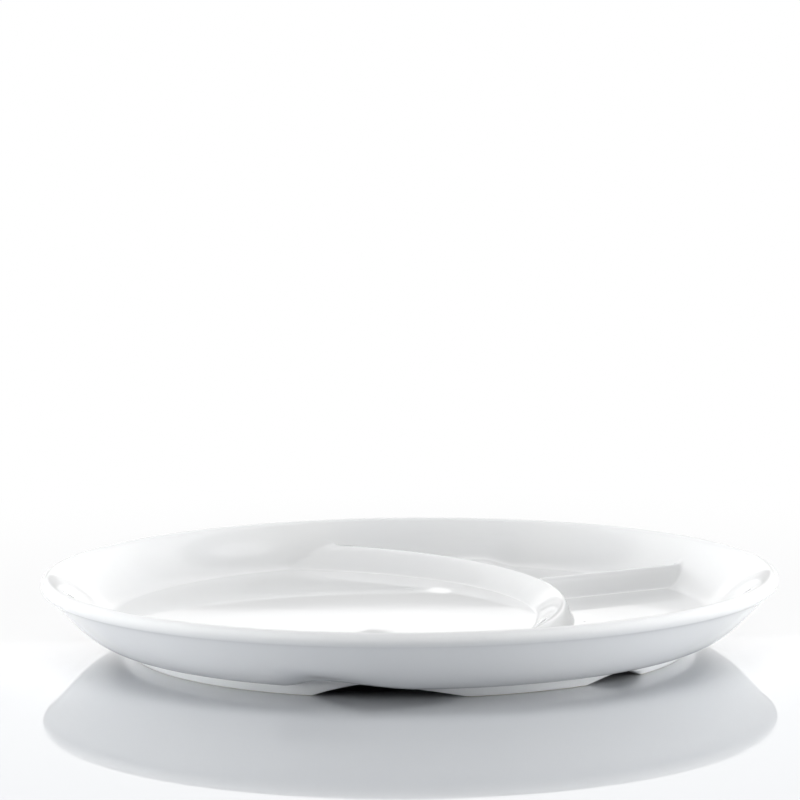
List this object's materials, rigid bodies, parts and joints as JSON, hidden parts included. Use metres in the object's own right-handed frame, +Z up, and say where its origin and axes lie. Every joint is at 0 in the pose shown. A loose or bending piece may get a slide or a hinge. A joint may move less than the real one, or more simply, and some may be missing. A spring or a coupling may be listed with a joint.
{
  "type": "divided plate",
  "caption": "Round white porcelain dinner plate with a rolled lip, parted into wells by a curved divider and a short straight one, on a foot ring broken by arched notches.",
  "frame": {"origin": "on the table under the centre of the plate", "axes": "+Z up, -Y towards the front of the plate, +X towards its right-hand side, where the short divider meets the wall"},
  "size_m": [0.28, 0.28, 0.029],
  "materials": {
    "glazed_porcelain": "clear gloss glaze over white porcelain",
    "bare_porcelain": "bare porcelain, wiped free of glaze and ground smooth, matt"
  },
  "bodies": {
    "root": {"plate_body": "glazed_porcelain", "rolled_lip": "glazed_porcelain", "curved_divider": "glazed_porcelain", "short_divider": "glazed_porcelain", "foot_pad_front": "bare_porcelain", "foot_pad_right": "bare_porcelain", "foot_pad_back": "bare_porcelain", "foot_pad_left": "bare_porcelain"}
  },
  "joints": []
}
